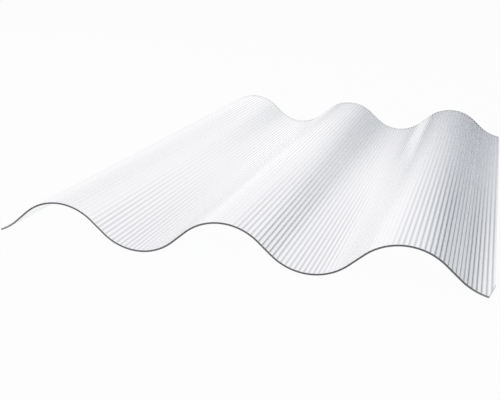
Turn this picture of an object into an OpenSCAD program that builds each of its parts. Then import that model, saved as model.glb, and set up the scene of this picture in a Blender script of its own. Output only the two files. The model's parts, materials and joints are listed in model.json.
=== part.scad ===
// Corrugated polycarbonate sheet: one clear, single-skin sheet whose round waves run
// along its length. Its section is true arcs joined by straight flanks, and doesn't change
// along the length. +X is across the waves, +Y along them and +Z up. The origin is at the
// middle of the sheet, on the plane that the undersides of the troughs rest on.

/* [Wave] */
// Distance from one crest to the next
pitch = 76; // [60:0.5:130]
// Overall depth, from the underside of a trough to the top of a crest
depth = 18; // [12:0.5:24]
// Straight length in the middle of each flank, between the two bends
flank_l = 8; // [1:0.5:12]

/* [Sheet] */
// Thickness of the single skin
thickness = 0.8; // [0.6:0.05:1.5]
// Width of the sheet, across the waves
sheet_w = 217; // [160:1:1100]
// Length of the sheet, along the waves
sheet_l = 305; // [150:1:3000]
// Where the crest nearest the middle stands, across from the middle of the sheet
crest_shift = -2.75; // [-38:0.25:38]
// Clipped corner at the front right: length taken off the front end and off the side
clip_w = 2.4; // [0.2:0.2:20]
clip_l = 14; // [1:1:60]

/* [Hidden] */
$fn = 240;

half_pitch = pitch / 2;
// Rise of the middle of the skin from a trough to a crest
rise = depth - thickness;
// From trough to crest the middle of the skin is an arc, a straight flank and an equal
// arc, each tangent to the next. Its width and its rise fix the slope and the radius:
//   2 * bend_r * sin(flank_angle) + flank_l * cos(flank_angle) = half_pitch
//   2 * bend_r * (1 - cos(flank_angle)) + flank_l * sin(flank_angle) = rise
flank_angle = 2 * atan(rise / (half_pitch + flank_l));
bend_r = (half_pitch - flank_l * cos(flank_angle)) / (2 * sin(flank_angle));
// Level of the centre of the arcs, of a crest and of a trough
crest_centre_z = depth - thickness / 2 - bend_r;
trough_centre_z = thickness / 2 + bend_r;
// Bends drawn to each side of that crest, enough to pass the sheet's edge
side_bends = ceil((sheet_w / 2 + abs(crest_shift)) / half_pitch);
// Reach of the trimming shapes past the section
margin = 5;
// What each arc's circle reaches past its flanks, so that they cross and don't just touch
weld = 0.001;

// Bend i is counted from that crest: even ones are crests, odd ones are troughs
function is_crest(i) = i % 2 == 0;

// Radius of bend i on the line that runs a distance off above the middle of the skin
function line_r(i, off) = is_crest(i) ? bend_r + off : bend_r - off;

// Where that line leaves bend i for the flank on its left (side -1) or right (side 1)
function flank_end(i, side, off) = [
    i * half_pitch + side * line_r(i, off) * sin(flank_angle),
    is_crest(i)
        ? crest_centre_z + line_r(i, off) * cos(flank_angle)
        : trough_centre_z - line_r(i, off) * cos(flank_angle)
];

// Rods under every second bend from bend first on: their surfaces are that line's arcs
module bend_rods(first, off, length) {
    for (i = [first : 2 : side_bends])
        translate([i * half_pitch, is_crest(i) ? crest_centre_z : trough_centre_z, 0])
            cylinder(r = line_r(i, off) + weld, h = length, center = true);
}

// Everything under that line: the flanks and the chords between them bound a prism, the
// rods of the crests stand above its chords, and the rods of the troughs are cut out of it
module under_line(off, length) {
    side_x = (side_bends + 1) * half_pitch;
    first_crest = is_crest(side_bends) ? -side_bends : 1 - side_bends;
    first_trough = is_crest(side_bends) ? 1 - side_bends : -side_bends;
    flank_ends = [
        for (i = [-side_bends : side_bends], side = [-1, 1]) flank_end(i, side, off)
    ];
    difference() {
        union() {
            linear_extrude(height = length, center = true)
                polygon(concat([[-side_x, -2 * margin]], flank_ends, [[side_x, -2 * margin]]));
            bend_rods(first_crest, off, length);
        }
        bend_rods(first_trough, off, length + margin);
    }
}

// The skin lies between the line of its upper face and the line of its underside. It is
// made standing on end, with the waves along Z.
module standing_sheet() {
    difference() {
        intersection() {
            translate([crest_shift, 0, 0])
                under_line(thickness / 2, sheet_l);
            translate([0, depth / 2, 0])
                cube([sheet_w, depth + 2 * margin, sheet_l + margin], center = true);
        }
        translate([crest_shift, 0, 0])
            under_line(-thickness / 2, sheet_l + margin);
    }
}

// What the clip takes off the corner of the laid sheet, and as much again past each end
module corner_clip() {
    translate([sheet_w / 2, -sheet_l / 2, -margin])
        linear_extrude(height = depth + 2 * margin)
            polygon([[-2 * clip_w, -clip_l], [clip_w, -clip_l], [clip_w, 2 * clip_l]]);
}

module corrugated_sheet() {
    color([0.93, 0.95, 0.97, 0.45])
        difference() {
            rotate([90, 0, 0])
                standing_sheet();
            corner_clip();
        }
}

corrugated_sheet();
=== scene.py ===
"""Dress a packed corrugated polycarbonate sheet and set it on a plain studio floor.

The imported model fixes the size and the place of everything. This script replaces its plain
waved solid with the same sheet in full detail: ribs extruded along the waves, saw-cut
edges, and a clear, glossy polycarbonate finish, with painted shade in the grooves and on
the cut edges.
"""

import json
import logging
import math
from dataclasses import dataclass
from enum import Enum
from typing import Callable, Iterator, Sequence, Union

import bpy
from mathutils import Matrix, Vector


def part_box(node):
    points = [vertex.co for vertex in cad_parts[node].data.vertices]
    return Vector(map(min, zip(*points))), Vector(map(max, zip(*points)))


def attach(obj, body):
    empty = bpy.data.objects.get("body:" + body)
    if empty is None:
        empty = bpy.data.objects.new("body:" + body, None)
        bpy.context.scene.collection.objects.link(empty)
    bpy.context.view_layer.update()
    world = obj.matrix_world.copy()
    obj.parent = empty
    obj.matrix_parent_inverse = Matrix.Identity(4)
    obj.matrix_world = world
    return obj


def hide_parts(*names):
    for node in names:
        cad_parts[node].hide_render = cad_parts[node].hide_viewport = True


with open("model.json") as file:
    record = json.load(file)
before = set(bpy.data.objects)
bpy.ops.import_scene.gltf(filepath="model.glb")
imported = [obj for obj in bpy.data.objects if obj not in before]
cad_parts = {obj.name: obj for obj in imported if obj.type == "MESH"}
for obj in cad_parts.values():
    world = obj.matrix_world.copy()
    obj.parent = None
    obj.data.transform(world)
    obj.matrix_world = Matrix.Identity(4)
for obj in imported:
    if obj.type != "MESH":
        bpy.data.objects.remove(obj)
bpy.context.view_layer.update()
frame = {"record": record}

MM = 0.001
RIB_MAP = "rib_map"
# Of solid polycarbonate
REFRACTIVE_INDEX = 1.586
# Straight length in the middle of each flank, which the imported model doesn't state
FLANK_LENGTH = 8.0 * MM
# Edges smooth into each other where they meet at less than this
SHARP_ANGLE = math.radians(30)
# A face is an upright cut where its normal rises or falls by less than this
UPRIGHT_LIMIT = 0.01
# A rib's flank faces along X: its normal's X is past this, and every other face's is 0
FLANK_LIMIT = 0.5
# Light gets out of the thin clear skin only after many bounces; fewer leave black streaks
LIGHT_BOUNCES = 64
CLEAR_BOUNCES = 48

log = logging.getLogger("corrugated_sheet")

SocketValue = Union["Socket", float, Sequence[float]]
Colour = tuple[float, float, float, float]
WHITE: Colour = (1.0, 1.0, 1.0, 1.0)
UP = (0.0, 0.0, 1.0)


# ---------------------------------------------------------------------------
# Shader maths
# ---------------------------------------------------------------------------


class Socket:
    """An output socket whose arithmetic adds Math nodes to its tree."""

    def __init__(self, shader: "Shader", output: bpy.types.NodeSocket) -> None:
        """Keep the tree and the output.

        Args:
            shader: the node tree that new Math nodes go into.
            output: the node output that this wraps.
        """
        self.shader = shader
        self.output = output

    def _math(self, operation: str, *values: SocketValue) -> "Socket":
        """Add a Math node.

        Args:
            operation: the Math node's operation.
            values: its inputs in order.

        Returns:
            The node's result.
        """
        settings = {"operation": operation}
        node = self.shader.node("ShaderNodeMath", settings, dict(enumerate(values)))
        return Socket(self.shader, node.outputs[0])

    def __add__(self, other: SocketValue) -> "Socket":
        """Return self + other."""
        return self._math("ADD", self, other)

    __radd__ = __add__

    def __sub__(self, other: SocketValue) -> "Socket":
        """Return self - other."""
        return self._math("SUBTRACT", self, other)

    def __rsub__(self, other: SocketValue) -> "Socket":
        """Return other - self."""
        return self._math("SUBTRACT", other, self)

    def __mul__(self, other: SocketValue) -> "Socket":
        """Return self * other."""
        return self._math("MULTIPLY", self, other)

    __rmul__ = __mul__

    def magnitude(self) -> "Socket":
        """Return self without its sign."""
        return self._math("ABSOLUTE", self)

    def fraction(self) -> "Socket":
        """Return what is left of self past the last whole number."""
        return self._math("FRACT", self)

    def step(self, low: float, high: float) -> "Socket":
        """Ease from 0, where self is low, to 1, where it is high.

        Args:
            low: the value that the step starts from.
            high: the value that it ends at.

        Returns:
            The eased share.
        """
        share = self._math("MULTIPLY", self - low, 1 / (high - low))
        share.output.node.use_clamp = True
        return share * share * (3.0 - share * 2.0)


class Shader:
    """The node tree of one material or world."""

    def __init__(self, owner: Union[bpy.types.Material, bpy.types.World]) -> None:
        """Empty the owner's tree.

        Args:
            owner: the material or world whose nodes this writes.
        """
        owner.use_nodes = True
        self.tree = owner.node_tree
        self.tree.nodes.clear()
        is_world = isinstance(owner, bpy.types.World)
        self.output_kind = "ShaderNodeOutputWorld" if is_world else "ShaderNodeOutputMaterial"

    def node(
        self,
        kind: str,
        settings: dict[str, object] | None = None,
        inputs: dict[str | int, SocketValue] | None = None,
    ) -> bpy.types.Node:
        """Add one node.

        Args:
            kind: the node's type name.
            settings: properties of the node, set before its inputs.
            inputs: values or links of its input sockets, by name or number.

        Returns:
            The new node.
        """
        node = self.tree.nodes.new(kind)
        for name, value in (settings or {}).items():
            setattr(node, name, value)
        for key, value in (inputs or {}).items():
            if isinstance(value, Socket):
                self.tree.links.new(value.output, node.inputs[key])
            else:
                node.inputs[key].default_value = value
        return node

    def out(self, node: bpy.types.Node, name: str | int = 0) -> Socket:
        """Return one output of a node, wrapped."""
        return Socket(self, node.outputs[name])

    def mix_shaders(self, share: SocketValue, first: Socket, second: Socket) -> Socket:
        """Blend two closures.

        Args:
            share: how much of the second one shows.
            first: the closure at a share of 0.
            second: the closure at a share of 1.

        Returns:
            The blended closure.
        """
        inputs = {"Fac": share, 1: first, 2: second}
        return self.out(self.node("ShaderNodeMixShader", None, inputs))

    def mix_colours(
        self, share: SocketValue, first: SocketValue, second: SocketValue
    ) -> Socket:
        """Blend two colours.

        Args:
            share: how much of the second one shows.
            first: the colour at a share of 0.
            second: the colour at a share of 1.

        Returns:
            The blended colour.
        """
        # A Mix node's sockets for numbers and vectors come before its sockets for colours
        node = self.node("ShaderNodeMix", {"data_type": "RGBA"}, {0: share, 6: first, 7: second})
        return self.out(node, 2)

    def dot(self, vector: Socket, direction: Sequence[float]) -> Socket:
        """Measure how far a vector goes in a fixed direction.

        Args:
            vector: the vector socket.
            direction: the direction, of length 1.

        Returns:
            The dot product of the two.
        """
        node = self.node(
            "ShaderNodeVectorMath", {"operation": "DOT_PRODUCT"}, {0: vector, 1: direction}
        )
        return self.out(node, "Value")

    def stretched_noise(
        self, per_metre: Sequence[float], detail: float, roughness: float
    ) -> Socket:
        """Make noise on the object's own coordinates, stretched along its axes.

        Args:
            per_metre: the noise's cells for each metre along X, Y and Z.
            detail: octaves of finer noise.
            roughness: how strong those octaves are.

        Returns:
            The noise, about 0.5 on average.
        """
        place = self.out(self.node("ShaderNodeTexCoord"), "Object")
        mapped = self.out(
            self.node("ShaderNodeMapping", None, {"Vector": place, "Scale": per_metre})
        )
        inputs = {"Vector": mapped, "Scale": 1.0, "Detail": detail, "Roughness": roughness}
        return self.out(self.node("ShaderNodeTexNoise", None, inputs), 0)

    def place_across(self) -> Socket:
        """Return the object's own coordinate across the waves, in metres."""
        place = self.out(self.node("ShaderNodeTexCoord"), "Object")
        return self.out(self.node("ShaderNodeSeparateXYZ", None, {0: place}), 0)

    def rib_place(self) -> tuple[Socket, Socket]:
        """Read the ribs' UV map.

        Returns:
            The place across a rib, from 0 in one groove to 1 in the next, and the place
            along it, in metres.
        """
        place = self.node("ShaderNodeUVMap", {"uv_map": RIB_MAP})
        parts = self.node("ShaderNodeSeparateXYZ", None, {0: self.out(place)})
        return self.out(parts, 0), self.out(parts, 1)

    def output(self, surface: Socket) -> None:
        """Connect a closure to the tree's output."""
        self.node(self.output_kind, None, {"Surface": surface})


# ---------------------------------------------------------------------------
# Finishes
# ---------------------------------------------------------------------------


@dataclass(frozen=True)
class ClearPolycarbonate:
    """Clear, glossy polycarbonate whose grooves mirror more of what stands around it.

    Its grooves are also painted grey, as painted shade. That painted shade and the grooves' mirror
    are strongest at the front. They fade towards the back, which starts later on the right because
    the fade leans, and a little towards the left. They also fade over a band of each wave, on its
    left flank, which is wider on the waves to the left.

    The crest, the front and the fades to the back and the left are in metres on the sheet,
    and the back's are measured from the front. The band's numbers are in pitches of the
    wave. From each wave to the next on its right, the band's middle shifts by about the
    drift, and its half width shrinks by the narrowing.
    """

    crest: float
    pitch: float
    front: float
    clear: Colour = (0.995, 0.99, 1.0, 1.0)
    haze: Colour = (0.975, 0.975, 0.985, 1.0)
    haze_cells: tuple[float, float, float] = (22.0, 9.0, 22.0)
    # Painted shade: the grey that the grooves are painted
    groove_shade: Colour = (0.64, 0.65, 0.67, 1.0)
    groove_share: float = 0.33
    groove_mirror: float = 0.64
    groove_roughness: float = 0.05
    mirrored: Colour = (0.72, 0.74, 0.77, 1.0)
    wall_drop: float = 0.12 * MM
    back_fade: float = 0.82
    back_from: float = 2.5 * MM
    back_to: float = 162.5 * MM
    back_lean: float = 0.45
    band_fade: float = 0.85
    band_middle: float = -0.165
    band_drift: float = -0.0625
    band_half: float = 0.255
    band_narrowing: float = 0.0975
    band_blur: float = 0.05
    left_fade: float = 0.35
    left_from: float = -100.0 * MM
    left_to: float = 50.0 * MM
    light_passed: Colour = (0.94, 0.945, 0.95, 1.0)

    def material(self) -> bpy.types.Material:
        """Build the finish.

        Returns:
            The material.
        """
        material = bpy.data.materials.new("clear_polycarbonate")
        shader = Shader(material)
        across, along = shader.rib_place()
        # The grooves' share, faded by place on the sheet: where the painted grey shade and the
        # mirror go
        from_groove = 1.0 - ((across - 0.5) * 2.0).magnitude()
        groove_shade = 1.0 - from_groove.step(0.0, self.groove_share * 2)
        place = shader.place_across()
        past_front = along - self.front - place * self.back_lean
        to_back = past_front.step(self.back_from, self.back_to)
        groove_shade = groove_shade * (1.0 - to_back * self.back_fade)
        to_left = 1.0 - place.step(self.left_from, self.left_to)
        groove_shade = groove_shade * (1.0 - to_left * self.left_fade)
        groove_shade = groove_shade * (1.0 - self._band_without_groove_shade(place) * self.band_fade)
        haze = shader.stretched_noise(self.haze_cells, detail=2.0, roughness=0.5)
        land = shader.mix_colours(haze, self.clear, self.haze)
        # Painted shade: the base colour turns grey in the grooves
        plastic = shader.node(
            "ShaderNodeBsdfPrincipled",
            None,
            {
                "Base Color": shader.mix_colours(groove_shade, land, self.groove_shade),
                "Roughness": 0.0,
                "IOR": REFRACTIVE_INDEX,
                "Transmission Weight": 1.0,
            },
        )
        wall = shader.node(
            "ShaderNodeBump",
            None,
            {"Distance": self.wall_drop, "Height": 1.0 - (across + 0.5).fraction()},
        )
        mirror = shader.node(
            "ShaderNodeBsdfAnisotropic",
            None,
            {
                "Color": self.mirrored,
                "Roughness": self.groove_roughness,
                "Normal": shader.out(wall),
            },
        )
        inside = shader.out(shader.node("ShaderNodeNewGeometry"), "Backfacing")
        mirrored = groove_shade * (1.0 - inside) * self.groove_mirror
        surface = shader.mix_shaders(mirrored, shader.out(plastic), shader.out(mirror))
        passed = shader.node("ShaderNodeBsdfTransparent", None, {"Color": self.light_passed})
        path = shader.node("ShaderNodeLightPath")
        for ray in ("Is Diffuse Ray", "Is Shadow Ray"):
            surface = shader.mix_shaders(shader.out(path, ray), surface, shader.out(passed))
        shader.output(surface)
        return material

    def _band_without_groove_shade(self, place: Socket) -> Socket:
        """Find the band of each wave where the painted groove shade and the grooves' mirror fade
        out.

        Args:
            place: the place across the waves, in metres.

        Returns:
            The share, from 0 outside the band to 1 inside it.
        """
        waves = (place - self.crest) * (1 / self.pitch)
        in_wave = waves * (1 - self.band_drift) + (0.5 - self.band_middle)
        from_middle = (in_wave.fraction() - 0.5).magnitude()
        past_rim = from_middle + waves * self.band_narrowing - self.band_half
        return 1.0 - past_rim.step(-self.band_blur, self.band_blur)


@dataclass(frozen=True)
class SawCutEdge:
    """A saw-cut edge of the skin. Its grey colour is painted shade, for the light that the clear
    skin holds inside.

    Its colour turns into the corner colour over the last stretch before the sheet's sides.
    """

    name: str
    dark: Colour
    pale: Colour
    corner: Colour
    corner_start: float = 12.5 * MM
    corner_end: float = 1.5 * MM
    roughness: float = 0.35
    roughness_range: float = 0.2
    mark_cells: tuple[float, float, float] = (900.0, 900.0, 900.0)

    def material(self, half_width: float) -> bpy.types.Material:
        """Build the finish.

        Args:
            half_width: distance from the sheet's middle to its sides.

        Returns:
            The material.
        """
        material = bpy.data.materials.new(self.name)
        shader = Shader(material)
        marks = shader.stretched_noise(self.mark_cells, detail=3.0, roughness=0.6)
        at_corner = shader.place_across().magnitude().step(
            half_width - self.corner_start, half_width - self.corner_end
        )
        # The saw marks vary the painted grey shade at random between dark and pale
        saw_marks_and_shade = shader.mix_colours(marks, self.dark, self.pale)
        plastic = shader.node(
            "ShaderNodeBsdfPrincipled",
            None,
            {
                "Base Color": shader.mix_colours(at_corner, saw_marks_and_shade, self.corner),
                "Roughness": self.roughness + marks * self.roughness_range,
                "IOR": REFRACTIVE_INDEX,
            },
        )
        shader.output(shader.out(plastic))
        return material


# Painted shade: the end edges are painted dark grey and the side edges pale grey, shaded and lit
# copies of one saw-cut finish; the end edges pale towards the sheet's sides
END_EDGE = SawCutEdge(
    name="end_edge",
    dark=(0.11, 0.11, 0.112, 1.0),
    pale=(0.2, 0.2, 0.204, 1.0),
    corner=(0.34, 0.34, 0.345, 1.0),
)
SIDE_EDGE = SawCutEdge(
    name="side_edge",
    dark=(0.55, 0.57, 0.58, 1.0),
    pale=(0.72, 0.74, 0.745, 1.0),
    corner=(0.66, 0.68, 0.685, 1.0),
)


class Finish(Enum):
    """The material slots of the sheet's mesh, in order."""

    SKIN = 0
    END_EDGE = 1
    SIDE_EDGE = 2


# ---------------------------------------------------------------------------
# The sheet
# ---------------------------------------------------------------------------


@dataclass(frozen=True)
class Wave:
    """The line that the middle of the skin follows: equal arcs joined by straight flanks."""

    pitch: float
    rise: float
    flank_length: float
    low: float
    crest: float

    @property
    def half_pitch(self) -> float:
        """Distance across from a crest to the next trough."""
        return self.pitch / 2

    @property
    def slope(self) -> float:
        """Angle of the straight flanks, in radians."""
        return 2 * math.atan(self.rise / (self.half_pitch + self.flank_length))

    @property
    def bend_radius(self) -> float:
        """Radius of the arcs."""
        run = self.half_pitch - self.flank_length * math.cos(self.slope)
        return run / (2 * math.sin(self.slope))

    @property
    def length(self) -> float:
        """Length of the line over one pitch."""
        return 4 * self.bend_radius * self.slope + 2 * self.flank_length

    def anchors(self, bends: int) -> Iterator[tuple[Vector, Vector, Vector]]:
        """Walk the line from the trough at bend -bends to the trough at bend bends.

        Args:
            bends: half waves to each side of the middle crest, an odd number.

        Yields:
            Each Bezier point with its left and its right handle.
        """
        radius = self.bend_radius
        # Handles of this length make the piece between two points follow the arc
        arc_reach = 4 / 3 * math.tan(self.slope / 4) * radius
        flank_reach = self.flank_length / 3
        for bend in range(-bends, bends + 1):
            up = 1 if bend % 2 == 0 else -1
            top = self.low + (self.rise if up > 0 else 0.0)
            for side in (-1, 0, 1):
                if abs(bend + side) > bends:
                    continue
                turn = -side * up * self.slope
                heading = Vector((math.cos(turn), 0.0, math.sin(turn)))
                point = Vector(
                    (
                        self.crest + bend * self.half_pitch + side * radius * math.sin(self.slope),
                        0.0,
                        top - up * radius * (1 - math.cos(turn)),
                    )
                )
                back = flank_reach if side < 0 else arc_reach
                ahead = flank_reach if side > 0 else arc_reach
                yield point, point - heading * back, point + heading * ahead


@dataclass
class RibbedSheet:
    """The whole sheet: a strip of ribs, laid along the wave line and trimmed to size.

    Here the groove share is the distance from the middle of a groove, in ribs, at which its
    depth has dropped to about a third.
    """

    wave: Wave
    low: Vector
    high: Vector
    thickness: float
    clip_width: float = 2.4 * MM
    clip_length: float = 14.0 * MM
    ribs_per_wave: int = 41
    columns_per_rib: int = 12
    groove_depth: float = 0.06 * MM
    groove_share: float = 0.25
    line_steps: int = 48
    cut_tolerance: float = MM / 10000

    @property
    def waves(self) -> int:
        """Whole waves, an odd number, that reach past both side edges."""
        reach = self.high.x - self.low.x + 2 * abs(self.wave.crest)
        return 2 * math.ceil(reach / (2 * self.wave.pitch) - 0.5) + 1

    @property
    def rib_pitch(self) -> float:
        """Width of one rib, measured along the wave line."""
        return self.wave.length / self.ribs_per_wave

    @property
    def same_place(self) -> float:
        """Distance within which two points of a rib count as one."""
        return self.rib_pitch / 100

    def _drop(self, share: float) -> float:
        """Depth of the rib's face below its top.

        Args:
            share: place across the rib, from 0 in one groove to 1 in the next.

        Returns:
            The depth, in metres.
        """
        from_groove = min(share, 1 - share) / self.groove_share
        return self.groove_depth * math.exp(-from_groove * from_groove)

    def _rib(self) -> bpy.types.Object:
        """Model one rib, as long as the sheet and open at both flanks.

        Returns:
            The rib, from x = 0 to the rib pitch, with its middle plane at z = 0.
        """
        length = self.high.y - self.low.y
        bpy.ops.object.select_all(action="DESELECT")
        bpy.ops.mesh.primitive_cube_add(
            size=1.0,
            location=(self.rib_pitch / 2, (self.high.y + self.low.y) / 2, 0.0),
            scale=(self.rib_pitch, length, self.thickness),
        )
        rib = bpy.context.object
        bpy.ops.object.transform_apply(location=True, rotation=True, scale=True)
        select_faces(rib, lambda face: abs(face.normal.x) > FLANK_LIMIT)
        in_edit_mode(lambda: bpy.ops.mesh.delete(type="ONLY_FACE"))
        select_edges(rib, lambda start, end: abs(start.x - end.x) > self.rib_pitch / 2)
        in_edit_mode(lambda: bpy.ops.mesh.subdivide(number_cuts=self.columns_per_rib - 1))
        for column in range(self.columns_per_rib + 1):
            share = column / self.columns_per_rib
            place = share * self.rib_pitch
            select_vertices(
                rib,
                lambda point: point.z > 0 and abs(point.x - place) < self.same_place,
            )
            shift = (0.0, 0.0, -self._drop(share))
            in_edit_mode(lambda: bpy.ops.transform.translate(value=shift))
        self._map_rib(rib)
        return rib

    def _map_rib(self, rib: bpy.types.Object) -> None:
        """Give a rib a UV map: U runs across it from 0 to 1, and V along it in metres.

        Args:
            rib: the modelled rib.
        """
        layers = rib.data.uv_layers
        while layers:
            layers.remove(layers[0])
        rib_map = layers.new(name=RIB_MAP)
        for loop in rib.data.loops:
            point = rib.data.vertices[loop.vertex_index].co
            across = point.x / self.rib_pitch if point.z > 0 else 0.5
            rib_map.uv[loop.index].vector = (across, point.y)

    def _wave_line(self) -> bpy.types.Object:
        """Draw the wave line as a curve.

        Returns:
            The curve object.
        """
        data = bpy.data.curves.new("wave_line", "CURVE")
        data.dimensions = "3D"
        data.twist_mode = "Z_UP"
        data.resolution_u = self.line_steps
        spline = data.splines.new("BEZIER")
        anchors = list(self.wave.anchors(self.waves))
        spline.bezier_points.add(len(anchors) - 1)
        for knot, (point, left, right) in zip(spline.bezier_points, anchors):
            knot.co = point
            knot.handle_left = left
            knot.handle_right = right
        line = bpy.data.objects.new("wave_line", data)
        bpy.context.scene.collection.objects.link(line)
        return line

    def build(self) -> bpy.types.Object:
        """Model the sheet.

        Returns:
            The finished mesh object, in place.
        """
        sheet = self._rib()
        sheet.name = "ribbed_sheet"
        sheet.data.name = "ribbed_sheet"
        array = sheet.modifiers.new("ribs", "ARRAY")
        array.count = self.ribs_per_wave * self.waves
        array.use_relative_offset = False
        array.use_constant_offset = True
        array.constant_offset_displace = (self.rib_pitch, 0.0, 0.0)
        array.use_merge_vertices = True
        array.merge_threshold = self.same_place
        bpy.ops.object.modifier_apply(modifier=array.name)
        line = self._wave_line()
        bend = sheet.modifiers.new("waves", "CURVE")
        bend.object = line
        bend.deform_axis = "POS_X"
        bpy.ops.object.modifier_apply(modifier=bend.name)
        bpy.data.objects.remove(line)
        self._cut(sheet, (self.low.x, 0.0, 0.0), (-1.0, 0.0, 0.0))
        self._cut(sheet, (self.high.x, 0.0, 0.0), (1.0, 0.0, 0.0))
        self._cut(
            sheet,
            (self.high.x - self.clip_width, self.low.y, 0.0),
            (self.clip_length, -self.clip_width, 0.0),
        )
        select_all(sheet)
        in_edit_mode(lambda: bpy.ops.mesh.normals_make_consistent(inside=False))
        self._dress(sheet)
        return sheet

    def _cut(
        self, sheet: bpy.types.Object, place: Sequence[float], outwards: Sequence[float]
    ) -> None:
        """Saw off what lies outside an upright plane, and close the cut.

        Args:
            sheet: the ribbed sheet.
            place: a point of the plane.
            outwards: the direction of what is sawn off.
        """
        select_all(sheet)
        in_edit_mode(
            lambda: bpy.ops.mesh.bisect(
                plane_co=place,
                plane_no=Vector(outwards).normalized(),
                clear_outer=True,
                use_fill=True,
                threshold=self.cut_tolerance,
            )
        )

    def _dress(self, sheet: bpy.types.Object) -> None:
        """Give the skin and the cut edges their finishes and smooth the waves.

        Args:
            sheet: the modelled sheet.
        """
        skin = ClearPolycarbonate(
            crest=self.wave.crest, pitch=self.wave.pitch, front=self.low.y
        )
        sheet.data.materials.append(skin.material())
        sheet.data.materials.append(END_EDGE.material(self.high.x))
        sheet.data.materials.append(SIDE_EDGE.material(self.high.x))
        for face in sheet.data.polygons:
            if abs(face.normal.z) > UPRIGHT_LIMIT:
                face.material_index = Finish.SKIN.value
            elif abs(face.normal.y) > abs(face.normal.x):
                face.material_index = Finish.END_EDGE.value
            else:
                face.material_index = Finish.SIDE_EDGE.value
        bpy.ops.object.shade_smooth_by_angle(angle=SHARP_ANGLE)
        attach(sheet, "root")
        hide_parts("corrugated_sheet")


def in_edit_mode(operate: Callable[[], object]) -> None:
    """Run one operator in edit mode on the active object.

    Args:
        operate: the call of the operator.
    """
    bpy.ops.object.mode_set(mode="EDIT")
    operate()
    bpy.ops.object.mode_set(mode="OBJECT")


def set_select_mode(vertices: bool, edges: bool, faces: bool) -> None:
    """Choose what edit mode selects."""
    bpy.context.tool_settings.mesh_select_mode = (vertices, edges, faces)


def clear_selection(piece: bpy.types.Object) -> None:
    """Deselect every vertex, edge and face of a mesh."""
    for group in (piece.data.vertices, piece.data.edges, piece.data.polygons):
        group.foreach_set("select", [False] * len(group))


def select_all(piece: bpy.types.Object) -> None:
    """Select every vertex, edge and face of a mesh."""
    set_select_mode(True, False, False)
    for group in (piece.data.vertices, piece.data.edges, piece.data.polygons):
        group.foreach_set("select", [True] * len(group))


def select_vertices(piece: bpy.types.Object, wanted: Callable[[Vector], bool]) -> None:
    """Select some of a mesh's vertices.

    Args:
        piece: the mesh object.
        wanted: the test that a vertex's place has to pass.
    """
    set_select_mode(True, False, False)
    clear_selection(piece)
    for vertex in piece.data.vertices:
        vertex.select = wanted(vertex.co)


def select_edges(piece: bpy.types.Object, wanted: Callable[[Vector, Vector], bool]) -> None:
    """Select some of a mesh's edges.

    Args:
        piece: the mesh object.
        wanted: the test that an edge's two ends have to pass.
    """
    set_select_mode(False, True, False)
    clear_selection(piece)
    points = piece.data.vertices
    for edge in piece.data.edges:
        start, end = (points[index].co for index in edge.vertices)
        edge.select = wanted(start, end)


def select_faces(
    piece: bpy.types.Object, wanted: Callable[[bpy.types.MeshPolygon], bool]
) -> None:
    """Select some of a mesh's faces.

    Args:
        piece: the mesh object.
        wanted: the test that a face has to pass.
    """
    set_select_mode(False, False, True)
    clear_selection(piece)
    for face in piece.data.polygons:
        face.select = wanted(face)


# ---------------------------------------------------------------------------
# Studio
# ---------------------------------------------------------------------------


@dataclass(frozen=True)
class DarkPatch:
    """A round dark patch of the surroundings; all its sizes are angles in degrees."""

    azimuth: float
    elevation: float
    rim: float
    core: float

    def share(self, shader: Shader, direction: Socket) -> Socket:
        """Work out how much of the patch shows.

        Args:
            shader: the world's node tree.
            direction: the direction that a ray goes in.

        Returns:
            The share, from 0 outside the rim to 1 inside the core.
        """
        azimuth = math.radians(self.azimuth)
        elevation = math.radians(self.elevation)
        middle = (
            math.sin(azimuth) * math.cos(elevation),
            math.cos(azimuth) * math.cos(elevation),
            math.sin(elevation),
        )
        rim = math.cos(math.radians(self.rim))
        core = math.cos(math.radians(self.core))
        return shader.dot(direction, middle).step(rim, core)


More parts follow.
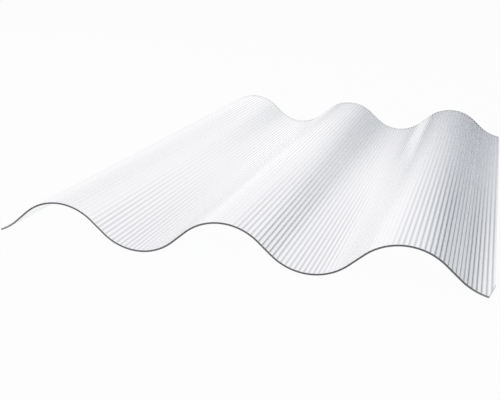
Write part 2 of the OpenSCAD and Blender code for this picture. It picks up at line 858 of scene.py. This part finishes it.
@dataclass
class Studio:
    """A pale floor, a pale sky with a soft dark patch on each of four sides, and a lamp."""

    floor_size: float = 30.0
    floor_white: float = 0.9
    floor_glow: float = 0.95
    mirrored_glow: float = 0.7
    horizon: Colour = (1.0, 0.99, 1.01, 1.0)
    zenith: Colour = (0.52, 0.52, 0.58, 1.0)
    zenith_height: float = 0.83
    dark: Colour = (0.135, 0.17, 0.225, 1.0)
    back_patch: DarkPatch = DarkPatch(azimuth=10.5, elevation=-13.0, rim=35.0, core=20.5)
    right_patch: DarkPatch = DarkPatch(azimuth=60.0, elevation=-2.0, rim=50.0, core=34.0)
    left_patch: DarkPatch = DarkPatch(azimuth=-100.0, elevation=-5.0, rim=44.0, core=26.0)
    front_patch: DarkPatch = DarkPatch(azimuth=170.0, elevation=-5.0, rim=52.0, core=30.0)
    lamp_place: tuple[float, float, float] = (-0.75, -0.35, 0.65)
    lamp_size: float = 1.2
    lamp_power: float = 5.0

    def build(self) -> None:
        """Make the floor, the sky and the lamp."""
        self._floor()
        self._sky()
        self._lamp()

    def _floor(self) -> None:
        """Lay the floor under the sheet."""
        bpy.ops.object.select_all(action="DESELECT")
        bpy.ops.mesh.primitive_plane_add(size=self.floor_size, location=(0.0, 0.0, 0.0))
        floor = bpy.context.object
        floor.name = "studio_floor"
        material = bpy.data.materials.new("floor_white")
        shader = Shader(material)
        white = (self.floor_white, self.floor_white, self.floor_white, 1.0)
        surface = shader.out(shader.node("ShaderNodeBsdfDiffuse", None, {"Color": white}))
        glow = shader.node(
            "ShaderNodeEmission", None, {"Color": WHITE, "Strength": 1.0}
        )
        path = shader.node("ShaderNodeLightPath")
        for ray, share in (
            ("Is Camera Ray", self.floor_glow),
            ("Is Glossy Ray", self.mirrored_glow),
            ("Is Transmission Ray", self.floor_glow),
        ):
            seen = shader.out(path, ray) * share
            surface = shader.mix_shaders(seen, surface, shader.out(glow))
        shader.output(surface)
        floor.data.materials.append(material)

    def _sky(self) -> None:
        """Surround the stage with a sky that the camera itself sees as white."""
        world = bpy.data.worlds.new("studio_sky")
        bpy.context.scene.world = world
        shader = Shader(world)
        direction = shader.out(shader.node("ShaderNodeTexCoord"), "Generated")
        height = shader.dot(direction, UP)
        sky = shader.mix_colours(height.step(0.0, self.zenith_height), self.horizon, self.zenith)
        for patch in (self.back_patch, self.right_patch, self.left_patch, self.front_patch):
            sky = shader.mix_colours(patch.share(shader, direction), sky, self.dark)
        path = shader.node("ShaderNodeLightPath")
        seen = shader.mix_colours(shader.out(path, "Is Camera Ray"), sky, WHITE)
        background = shader.node("ShaderNodeBackground", None, {"Color": seen, "Strength": 1.0})
        shader.output(shader.out(background))

    def _lamp(self) -> None:
        """Hang a soft lamp to the front left, aimed at the sheet and not mirrored in it."""
        data = bpy.data.lights.new("soft_lamp", "AREA")
        data.size = self.lamp_size
        data.energy = self.lamp_power
        lamp = bpy.data.objects.new("soft_lamp", data)
        lamp.visible_glossy = False
        place = Vector(self.lamp_place)
        turn = (-place).to_track_quat("-Z", "Y").to_matrix().to_4x4()
        lamp.matrix_world = Matrix.Translation(place) @ turn
        bpy.context.scene.collection.objects.link(lamp)


@dataclass
class Camera:
    """A camera in front of the sheet, a little to the right, looking down along the waves."""

    eye_from_front_crest: tuple[float, float, float] = (0.1000, -0.2949, 0.1240)
    azimuth: float = 16.55
    elevation: float = 17.14
    roll: float = 1.42
    focal_length: float = 57.13
    sensor_width: float = 36.0
    nearest: float = 10.0 * MM

    def build(self, front_crest: Vector) -> None:
        """Place the camera.

        Args:
            front_crest: point on the floor below the middle crest's front end.
        """
        data = bpy.data.cameras.new("camera")
        data.lens = self.focal_length
        data.sensor_width = self.sensor_width
        data.clip_start = self.nearest
        camera = bpy.data.objects.new("camera", data)
        turn = (
            Matrix.Rotation(math.radians(self.azimuth), 4, "Z")
            @ Matrix.Rotation(math.radians(90 - self.elevation), 4, "X")
            @ Matrix.Rotation(math.radians(self.roll), 4, "Z")
        )
        place = front_crest + Vector(self.eye_from_front_crest)
        camera.matrix_world = Matrix.Translation(place) @ turn
        bpy.context.scene.collection.objects.link(camera)
        bpy.context.scene.camera = camera


# ---------------------------------------------------------------------------
# Putting it together
# ---------------------------------------------------------------------------


def mount_place(name: str) -> Vector:
    """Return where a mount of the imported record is."""
    mounts = {mount["name"]: mount for mount in frame["record"]["mounts"]}
    return Vector(mounts[name]["pos_m"])


def sheet_from_frame() -> RibbedSheet:
    """Read the sheet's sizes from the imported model.

    Returns:
        The sheet, not yet modelled.
    """
    low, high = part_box("corrugated_sheet")
    crest_middle = mount_place("front_end")
    pitch = mount_place("trough_seat_right").x - mount_place("trough_seat_left").x
    thickness = 2 * (high.z - crest_middle.z)
    wave = Wave(
        pitch=pitch,
        rise=crest_middle.z - thickness / 2 - low.z,
        flank_length=FLANK_LENGTH,
        low=low.z + thickness / 2,
        crest=crest_middle.x,
    )
    return RibbedSheet(wave=wave, low=low, high=high, thickness=thickness)


def main() -> None:
    """Build the sheet, the studio and the camera."""
    logging.basicConfig(level=logging.INFO, format="%(name)s: %(message)s")
    bpy.context.scene.view_settings.view_transform = "Standard"
    bpy.context.scene.cycles.max_bounces = LIGHT_BOUNCES
    bpy.context.scene.cycles.glossy_bounces = CLEAR_BOUNCES
    bpy.context.scene.cycles.transmission_bounces = CLEAR_BOUNCES
    sheet = sheet_from_frame()
    mesh = sheet.build().data
    log.info("ribbed sheet: %d faces, rib pitch %.2f mm", len(mesh.polygons), sheet.rib_pitch / MM)
    Studio().build()
    log.info("studio: floor and surroundings")
    Camera().build(Vector((sheet.wave.crest, sheet.low.y, sheet.low.z)))
    log.info("camera: in place")


if __name__ == "__main__":
    main()
